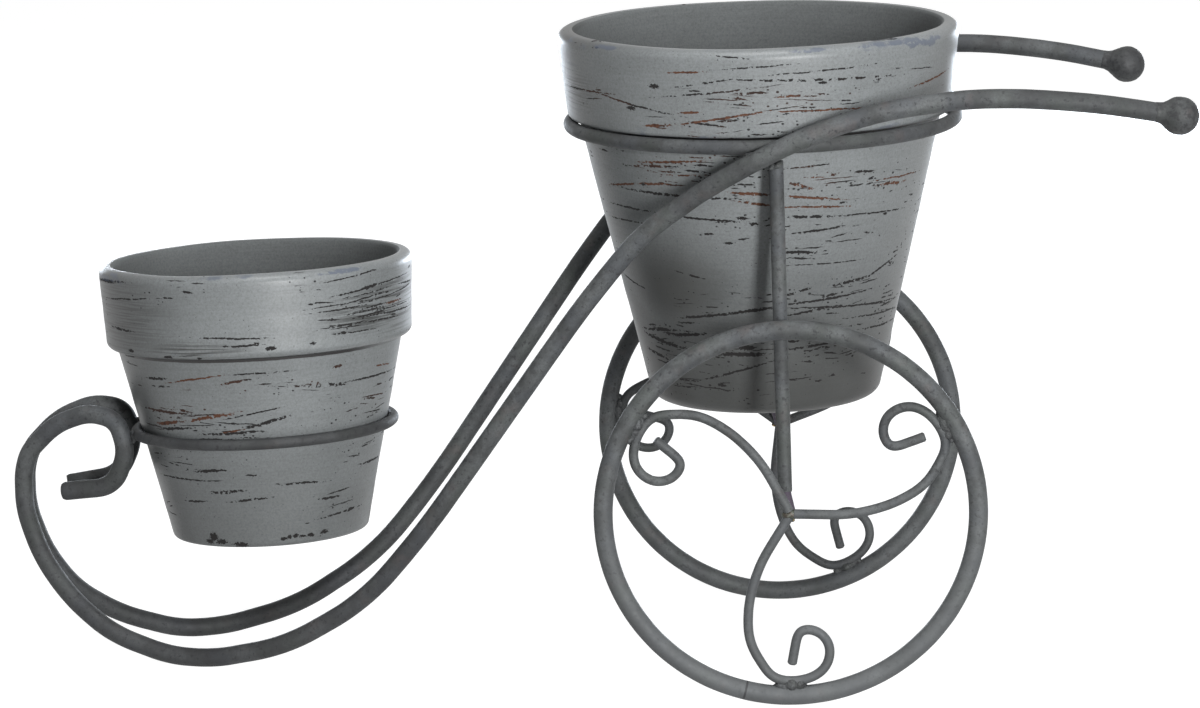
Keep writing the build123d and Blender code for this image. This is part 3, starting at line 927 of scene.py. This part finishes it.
# Pots. A place on a pot's wall is a turn in degrees, 0 where it faces the near side and positive
# towards the handles, and a height above its foot in millimetres. A patch or a chip has its place,
# then half its turn and half its height. A mark has the places of its two ends, its width in
# millimetres and the share of its length that is unbroken. Most ends were picked in the photograph,
# worked out as turn and height by a separate script, and then rounded or moved by hand.
large_look = {
    "seed": 1.7,
    # How dark the painted shade in the shaded patches is
    "patch_shade": 0.92,
    # How dark the painted shade towards the foot is
    "foot_shade": 0.92,
    # Patches of painted shade
    "shaded_patches": (
        (-40, 64, 50, 46), (-50, 20, 44, 42), (56, 12, 40, 36), (-80, 191, 62, 9), (96, 165, 56, 42),
    ),
    "scuffed": (
        (14, 188, 14, 3), (54, 186, 22, 6), (40, 188, 30, 3), (-50, 188, 12, 3),
    ),
    "rust_heights": (118 * mm, 168 * mm),
    "chipped": (
        (-9, 36, 7, 2.4), (-22, 15.8, 4, 2), (-32, 171, 3, 2), (-41, 159, 3, 2), (-8, 104, 3, 1.6),
        (-4, 101, 2.5, 1.6), (17, 172, 2, 1.4), (48, 100, 2, 1.2), (-44, 119, 2, 1.4),
        (38, 120, 2, 1.0), (-13, 91, 3, 1.2),
    ),
    "crowded": (
        (-8, 152, 34, 9), (6, 166, 40, 9), (-24, 126, 44, 12), (30, 118, 40, 12), (24, 60, 40, 16),
        (-48, 36, 24, 18), (-8, 34, 34, 14), (62, 50, 22, 16), (14, 86, 14, 8), (36, 34, 46, 14),
        (-6, 100, 20, 12), (-36, 16, 30, 10),
    ),
    "clean": (
        (-20, 84, 34, 20), (-30, 178, 60, 8), (34, 8, 40, 10),
    ),
    "brushed_dark": (
        (-75, 165, 25, 20),
    ),
    "black": (
        (-14, 187, -2, 185, 0.7, 0.4), (-13, 180, 8, 182, 0.7, 0.4), (-25, 171, -6, 176, 0.8, 0.55),
        (-8, 175, 42, 172, 1.1, 0.45), (-31, 165.6, 0, 171, 0.8, 0.6), (2, 177, 34, 179, 0.7, 0.4),
        (-78, 164, -48, 165, 0.8, 0.8), (-56, 165, -26, 157, 0.9, 0.8),
        (-22, 154, -11, 151.6, 1.0, 0.9), (-56, 115.6, -8, 114, 1.3, 0.6),
        (-50, 128, -28, 130, 1.2, 0.5), (-68, 105.6, -40, 105, 0.9, 0.7), (-42, 105, -7, 102, 1.1, 0.8),
        (-72, 97.6, -48, 98.2, 0.8, 0.7), (-20, 126, 2, 125, 0.8, 0.4), (6, 129, 22, 130, 0.8, 0.6),
        (6, 104.2, 24, 103, 1.3, 0.6), (22, 103, 60, 100.4, 0.8, 0.6), (10, 95.4, 28, 97, 1.1, 0.8),
        (-10, 92.8, -6, 93.8, 1.0, 0.9), (-25, 95, -18, 96, 1.2, 0.5), (6, 86, 19, 84.8, 1.6, 0.6),
        (7, 83, 18, 81.6, 0.9, 0.8), (6, 79, 40, 78, 0.6, 0.7), (25, 66.3, 45, 68.6, 1.4, 0.75),
        (42, 67.6, 61, 76, 1.0, 0.85), (7, 63, 18, 66.4, 1.3, 0.6), (8, 58.4, 46, 61.4, 1.1, 0.8),
        (8, 56.6, 72, 51.6, 0.8, 0.8), (8, 52.8, 28, 55.6, 1.2, 0.6), (-38, 50.2, -14, 54.4, 1.3, 0.7),
        (-20, 53.2, 5, 57.6, 1.5, 0.9), (-39, 47.7, -31, 48.1, 1.0, 0.8),
        (-66, 40.2, -40, 43.2, 1.4, 0.85), (-47, 40, -26, 42.8, 1.5, 0.9),
        (-67, 38, -38, 33.6, 1.8, 0.85), (-67, 29.4, -50, 26.2, 1.6, 0.9),
        (-25, 32.3, 0, 32.8, 1.9, 0.85), (-35, 16.6, 2, 28.6, 1.0, 0.75), (8, 39, 14, 38.7, 1.2, 0.9),
        (8, 34.6, 32, 36.6, 1.2, 0.6), (-78, 67.4, -56, 62.6, 0.9, 0.8),
        (-37, 75, -23, 71.6, 0.9, 0.55), (46, 40.6, 80, 39.2, 0.9, 0.6), (36, 48, 74, 46, 0.8, 0.6),
    ),
    "rust": (
        (-38, 150.6, -26, 152, 1.8, 0.9), (-28, 151.6, 4, 160, 1.4, 0.95),
        (-2, 159.2, 38, 157.4, 1.1, 0.9), (-26, 158, -17, 159, 1.3, 0.8),
        (-29, 178, -14, 179, 1.2, 0.85), (3, 166, 13, 166.4, 1.2, 0.7), (47, 164.2, 72, 169, 1.1, 0.85),
        (-46, 130.4, -17, 133.6, 1.4, 0.85), (-66, 115, -44, 119.6, 1.3, 0.85),
        (-48, 119, -30, 120.8, 1.5, 0.8), (-38, 125, -16, 126, 0.9, 0.5),
        (-13, 117.6, 4, 115.6, 1.9, 0.9), (3, 115.8, 30, 110.6, 1.3, 0.85),
        (-11, 113.2, 6, 109.4, 1.5, 0.7), (3, 109.6, 34, 107, 1.2, 0.85),
        (7, 122.2, 17, 117.6, 2.0, 0.7), (12, 124.2, 22, 123.4, 0.9, 0.7),
        (36, 118.6, 68, 118, 1.0, 0.8), (40, 116, 58, 115, 1.8, 0.6),
    ),
}
small_look = {
    "seed": 5.3,
    # How dark the painted shade in the shaded patches is
    "patch_shade": 0.66,
    # How dark the painted shade towards the foot is
    "foot_shade": 0.42,
    "rust_heights": (70 * mm, 94 * mm),
    # Patches of painted shade
    "shaded_patches": (
        (-78, 60, 50, 70), (-72, 120, 60, 50),
    ),
    "scuffed": (
        (40, 140, 30, 3), (-70, 138, 30, 4),
    ),
    "chipped": (
        (-30, 5.6, 5, 4.4), (-25, 3.2, 7, 2.6), (-33, 3.0, 5, 2.4), (-13, 1.8, 8, 2.6), (12, 4, 4, 1.8),
        (15.5, 4.6, 3, 1.6), (23, 4.4, 4, 1.4), (19, 5, 4, 1.8), (28, 4.4, 4, 1.8), (37, 5, 5, 2.2),
        (-51, 103, 3.4, 1.6), (-31, 101.4, 4, 1.4), (9, 105, 4, 1.7), (-18, 101, 2, 1.0),
        (25, 105.6, 2, 1.2), (4, 108, 2, 1.0), (-9, 66, 2, 1.2),
    ),
    "crowded": (
        (52, 121, 24, 14), (42, 113, 22, 9), (-30, 69, 36, 10), (-4, 62, 24, 9), (14, 84, 30, 6),
        (62, 66, 20, 20), (-46, 45, 26, 10),
    ),
    "clean": (
        (0, 124, 32, 13), (0, 20, 40, 16),
    ),
    "brushed_dark": (
        (-72, 120, 58, 30), (-20, 104, 30, 8), (70, 120, 40, 24), (50, 118, 30, 16),
    ),
    "black": (
        (30, 135.4, 44, 137, 0.6, 0.6), (42, 136.6, 56, 138.6, 0.8, 0.6),
        (34, 128, 56, 130.4, 0.9, 0.85), (44, 129.6, 56, 130.8, 1.5, 0.8),
        (50, 130.4, 78, 132, 0.6, 0.85), (40, 126.2, 62, 128, 0.6, 0.75), (36, 123, 56, 126, 0.7, 0.85),
        (23, 122.8, 40, 123.8, 0.5, 0.6), (25, 120.6, 48, 121.4, 0.6, 0.8),
        (44, 122.4, 68, 124.4, 0.7, 0.75), (46, 119.4, 60, 120.4, 0.9, 0.6),
        (38, 117.6, 58, 118.8, 0.6, 0.75), (48, 115.4, 86, 114.6, 0.8, 0.85),
        (41, 115.4, 58, 117, 0.7, 0.8), (52, 117.4, 80, 117.6, 0.6, 0.75),
        (30, 112.4, 46, 113.2, 0.7, 0.7), (46, 112.6, 70, 112, 0.7, 0.7),
        (39, 108.8, 52, 108.4, 0.7, 0.7), (62, 124, 86, 126, 0.8, 0.8), (70, 128, 86, 127, 0.9, 0.8),
        (-82, 136, -52, 137.8, 1.5, 0.85), (-68, 128, -34, 131, 0.7, 0.6),
        (-66, 113.8, -49, 113.2, 1.3, 0.75), (-20, 111.8, 9, 110, 0.9, 0.75),
        (-9, 107, 6, 107, 1.0, 0.7), (-50, 88.4, -37, 89, 1.3, 0.85), (-48, 84.4, -36, 85, 0.9, 0.5),
        (-8, 91.8, 16, 92, 0.8, 0.45), (-12, 86.8, 1, 89.2, 1.2, 0.75), (21, 83.8, 42, 81.6, 2.0, 0.5),
        (40, 82.4, 76, 82.6, 1.0, 0.85), (-60, 72, -28, 70.6, 1.4, 0.85),
        (-52, 61.6, -28, 63.6, 1.3, 0.8), (-24, 60.4, 4, 61.6, 1.2, 0.7),
        (-12, 68.6, 14, 73.6, 0.8, 0.7), (-3, 63.4, 16, 68.6, 1.6, 0.75),
        (-30, 57.4, -14, 57.8, 1.2, 0.6), (-34, 40.6, -14, 41.6, 1.6, 0.7),
        (-62, 36, -24, 35.6, 0.8, 0.75), (-26, 29.4, -8, 30.4, 1.5, 0.6),
        (-44, 24, -28, 24.6, 1.1, 0.8), (-16, 24.6, 6, 26.4, 1.3, 0.6), (8, 33, 36, 32, 1.1, 0.4),
        (31, 23, 46, 22.6, 1.1, 0.8), (33, 12.6, 66, 14.6, 1.1, 0.75), (58, 37, 84, 37, 1.2, 0.8),
    ),
    "rust": (
        (-56, 63.6, -30, 67.4, 1.9, 1.0), (-36, 66.2, -2, 72.8, 1.9, 1.0),
        (-40, 86.6, -9, 92, 1.1, 0.9), (58, 88, 74, 86.4, 1.0, 0.8), (-15, 61.4, -3, 63, 1.2, 0.85),
        (57, 119.8, 73, 120.2, 1.3, 0.7),
    ),
}
clay_pot("large_clay_pot", large_pot, "large_pot_lift", "large_drain_hole", "large_pot", large_look)
clay_pot("small_clay_pot", small_pot, "small_pot_lift", "small_drain_hole", "small_pot", small_look)

# Rings
for ring_name, joint_name, wire, steel in (
    ("large_pot_ring", "large_pot_lift", large_wire_radius, ring_steel),
    ("small_pot_ring", "small_pot_lift", small_wire_radius, small_ring_steel),
):
    low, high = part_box(ring_name)
    axis = axis_of(joint_name)
    reach_y = (high.y - low.y) / 2 - wire
    radius = reach_y / sqrt(1 - axis.y ** 2)
    ring = bar(
        ring_name + "_wire", circle((low + high) / 2, axis, radius), wire, steel,
        closed=True, lumps=0.14 * mm, seed=wire * 1000,
    )
    finish(ring, steel, "frame", "ring_wire", ring_name)


# Knobs, drawn into the rods' ends
def joined(a, b, softness):
    """The larger of two radii, with a fillet where they meet."""
    overlap = max(0.0, softness - abs(a - b))
    return max(a, b) + overlap * overlap / (4 * softness)


def knob(side_name, seed):
    """A ball whose neck is drawn down to the rod, with small dents."""
    line = corners[side_name]
    centre = line[-1]
    outward = (line[-1] - line[-2]).normalized()
    turn = Vector((0, 0, 1)).rotation_difference(outward)
    neck_start = -sqrt(knob_radius ** 2 - rod_radius ** 2) - knob_neck_length
    profile = [Vector((0, neck_start))]
    for i in range(36):
        h = neck_start * (1 - i / 36)
        ball_radius = sqrt(max(0.0, knob_radius ** 2 - h * h))
        drawn = min(1.0, (h - neck_start) / knob_neck_length)
        profile.append(Vector((
            joined(ball_radius, rod_radius + knob_neck_lip + knob_neck_swell * drawn ** 2, knob_fillet), h,
        )))
    for i in range(24):
        polar = pi / 2 * (1 - i / 24)
        profile.append(Vector((knob_radius * sin(polar), knob_radius * cos(polar))))
    profile.append(Vector((0, knob_radius)))

    def shape(spot, around):
        here = Vector((spot.x * cos(around), spot.x * sin(around), spot.y))
        dent = noise.noise(here * 260 + Vector((seed, 0, 0))) * 0.22 * mm
        dent += noise.noise(here * 700 + Vector((seed, 0, 0))) * 0.12 * mm
        return Vector((spot.x * (1 - 0.012) + dent * (spot.x > 0), spot.y * (1 - 0.004))), {}

    piece = spun(side_name + "_ball_knob", profile, centre, turn, 64, shape)
    return finish(piece, knob_steel, "frame", "knob_steel", side_name + "_handle_knob")


knob("left", 2.0)
knob("right", 8.0)


# Wheels: a butt-welded hoop with three curled spokes
def spoke_point(along, across, turn):
    """Turn a point of the spoke pattern about the hub."""
    angle = radians(turn)
    return along * cos(angle) - across * sin(angle), along * sin(angle) + across * cos(angle)


def on_wheel(side, along, across, turn):
    """A point of one wheel's spoke pattern, in the frame."""
    x, z = spoke_point(along, across, turn)
    return Vector((axle_x + x, side * half_spread, wheel_radius + z))


touch_run_shares = (
    spoke_point(1, -spoke_touch_share, spoke_touch_turn),
    spoke_point(1, spoke_touch_share, spoke_touch_turn),
)
spoke_shares = spoke_outer_shares + touch_run_shares + spoke_curl_shares

for side_name, side, turns in (("left", -1, left_spoke_turns), ("right", 1, right_spoke_turns)):
    hub = on_wheel(side, 0, 0, 0)
    hoop = bar(
        side_name + "_wheel_hoop", circle(hub, Vector((0, 1, 0)), hoop_radius, 360),
        hoop_bar_radius, hoop_steel[side_name], closed=True, lumps=0.22 * mm, seed=11.0 + side,
    )
    finish(hoop, hoop_steel[side_name], "frame", "rod_steel", side_name + "_wheel_rim")
    touches = []
    for number, turn in enumerate(turns, start=1):
        route = [on_wheel(side, hub_gap, 0, turn)]
        route += [on_wheel(side, x * spoke_reach, z * spoke_reach, turn) for x, z in spoke_shares]
        line = eased(rounded(route), spoke_ease_reach)
        spoke = bar(
            f"{side_name}_curled_spoke_{number}", line, spoke_radius, spoke_steel[side_name],
            end_share=0.7, lumps=0.14 * mm, seed=20.0 + number + side, sides=20,
        )
        finish(spoke, spoke_steel[side_name], "frame", "rod_steel", f"{side_name}_wheel_spoke_{number}")
        touch = on_wheel(side, spoke_reach + spoke_radius, 0, turn + spoke_touch_turn)
        ahead = on_wheel(side, spoke_reach + spoke_radius, mm, turn + spoke_touch_turn)
        touches.append((touch, (ahead - touch).normalized()))
    weld(
        side_name + "_curl_welds", touches, weld_steel, "weld_metal",
        [side_name + "_wheel_welds"], size=3.3 * mm, reach=7.0 * mm, count=17, seed=40 + side,
    )

    # The leg, and the thinner stub that runs from its foot to the hub
    leg_y = half_spread - hoop_bar_radius - leg_clearance - leg_radius
    leg_foot = Vector((axle_x - leg_foot_setback, side * leg_y, wheel_radius + leg_foot_rise))
    leg_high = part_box(side_name + "_leg")[1]
    leg_head = Vector((axle_x - leg_top_setback, side * leg_y, leg_high.z + leg_top_rise))
    leg = bar(
        side_name + "_upright_leg", [leg_head, leg_head.lerp(leg_foot, 0.5), leg_foot], leg_radius,
        leg_steel, end_share=0.86, lumps=0.18 * mm, seed=30.0 + side, sides=24,
    )
    finish(leg, leg_steel, "frame", "rod_steel", side_name + "_leg")
    stub_start = leg_foot + Vector((0, 0, stub_start_rise))
    stub_end = hub - Vector((0, side * spoke_radius / 2, 0))
    stub = bar(
        side_name + "_stub", [stub_start, stub_start.lerp(stub_end, 0.5), stub_end], stub_radius,
        stub_steel, end_share=0.8, lumps=0.3 * mm, seed=34.0 + side, sides=20,
    )
    finish(stub, stub_steel, "frame", "rod_steel", side_name + "_hub_stub")
    weld(
        side_name + "_hub_web", [(hub, Vector((1, 0, 0))), (hub, Vector((0.4, 0, -1)).normalized())],
        hub_braze, "braze", [side_name + "_hub_braze"], size=2.6 * mm, reach=2.6 * mm, count=6,
        seed=50 + side, lumps=0.35 * mm,
    )

# Welds that join both rods to the rings and to the legs
scroll_run = (corners["left"][scroll_corner + 1] - corners["left"][scroll_corner]).normalized()
for name, node, along, size, reach, count in (
    ("scroll_to_ring_welds", "small_ring_welds", scroll_run, 2.7 * mm, 2.0 * mm, 6),
    ("rod_to_ring_welds", "large_ring_welds", Vector((1, 0, 0.1)).normalized(), 2.6 * mm, 3.2 * mm, 7),
    ("rod_to_leg_welds", "leg_welds", Vector((1, 0, 0.5)).normalized(), 2.1 * mm, 2.2 * mm, 6),
):
    low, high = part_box(node)
    height = high.z - low.z
    middle = (low + high) / 2
    across = high.y - min(height, weld_spot_limit) / 2
    spots = [(Vector((middle.x, side * across, middle.z)), along) for side in (-1, 1)]
    weld(name, spots, weld_steel, "weld_metal", [node], size, reach, count, 60 + count)


# Floor and background: white wherever the camera or a reflection sees them
def seen_directly(tree):
    """1 for rays that the camera or a reflection sends, 0 for those that only carry light."""
    rays = add_node(tree, "ShaderNodeLightPath").outputs
    seen = math_node(tree, "MAXIMUM", rays["Is Camera Ray"], rays["Is Glossy Ray"])
    return math_node(tree, "MAXIMUM", seen, rays["Is Transmission Ray"])


floor_mesh = bpy.data.meshes.new("studio_floor")
span = 6.0
floor_mesh.from_pydata(
    [(-span, -span, 0), (span, -span, 0), (span, span, 0), (-span, span, 0)], [], [(0, 1, 2, 3)]
)
studio_floor = link(bpy.data.objects.new("studio_floor", floor_mesh))

s = Shade("pale_floor")
pale = s.node("ShaderNodeBsdfDiffuse", {"Color": (0.30, 0.30, 0.30)}).outputs["BSDF"]
white = s.node("ShaderNodeEmission", {
    "Color": (1, 1, 1), "Strength": s.times(seen_directly(s.tree), 0.96),
}).outputs["Emission"]
floor_look = s.node("ShaderNodeAddShader", {0: pale, 1: white}).outputs[0]
s.node("ShaderNodeOutputMaterial", {"Surface": floor_look})
floor_mesh.materials.append(s.material)

ambient = 0.05
world = bpy.data.worlds.new("studio")
bpy.context.scene.world = world
world.use_nodes = True
world.node_tree.nodes.clear()
strength = add_node(
    world.node_tree, "ShaderNodeMapRange",
    {"Value": seen_directly(world.node_tree), "To Min": ambient, "To Max": 1.0},
)
sky = add_node(
    world.node_tree, "ShaderNodeBackground",
    {"Color": (1, 1, 1), "Strength": strength.outputs["Result"]},
)
add_node(world.node_tree, "ShaderNodeOutputWorld", {"Surface": sky.outputs["Background"]})


# Soft studio lights, aimed at the middle of the planter
def lamp(name, turn, height, distance, width, tall, power, colour=(1.0, 1.0, 1.0)):
    """One soft box. turn is in degrees from the near side towards the handles."""
    light = bpy.data.lights.new(name, "AREA")
    light.shape = "RECTANGLE"
    light.size = width
    light.size_y = tall
    light.energy = power
    light.color = colour
    lamp_object = link(bpy.data.objects.new(name, light))
    lamp_object.visible_camera = False
    middle = Vector((0.0, 0.0, 0.16))
    away = Vector((
        sin(radians(turn)) * cos(radians(height)), -cos(radians(turn)) * cos(radians(height)),
        sin(radians(height)),
    ))
    lamp_object.location = middle + away * distance
    lamp_object.rotation_euler = (-away).to_track_quat("-Z", "Y").to_euler()


lamp("key_box", 21, 9, 2.2, 0.34, 0.55, 44.0)
lamp("top_box", 4, 70, 2.2, 1.0, 1.0, 30.0)
lamp("left_rim_box", -160, 0, 2.0, 0.5, 0.28, 13.0, (0.82, 0.90, 1.0))
lamp("right_rim_box", 158, 0, 2.0, 0.5, 0.28, 20.0, (0.82, 0.90, 1.0))

# Camera, at the photograph's angle, fitted to the pots' rims, the hoops and the floor
camera = bpy.data.cameras.new("camera")
camera.lens = 139.065
camera.sensor_width = 36.0
camera_object = link(bpy.data.objects.new("camera", camera))
camera_object.location = (36.15 * mm, -2323.85 * mm, 621.53 * mm)
camera_object.rotation_euler = (radians(78.6769), radians(0.3263), radians(0.7228))
bpy.context.scene.camera = camera_object
bpy.context.scene.view_settings.view_transform = "Standard"

bpy.context.view_layer.update()
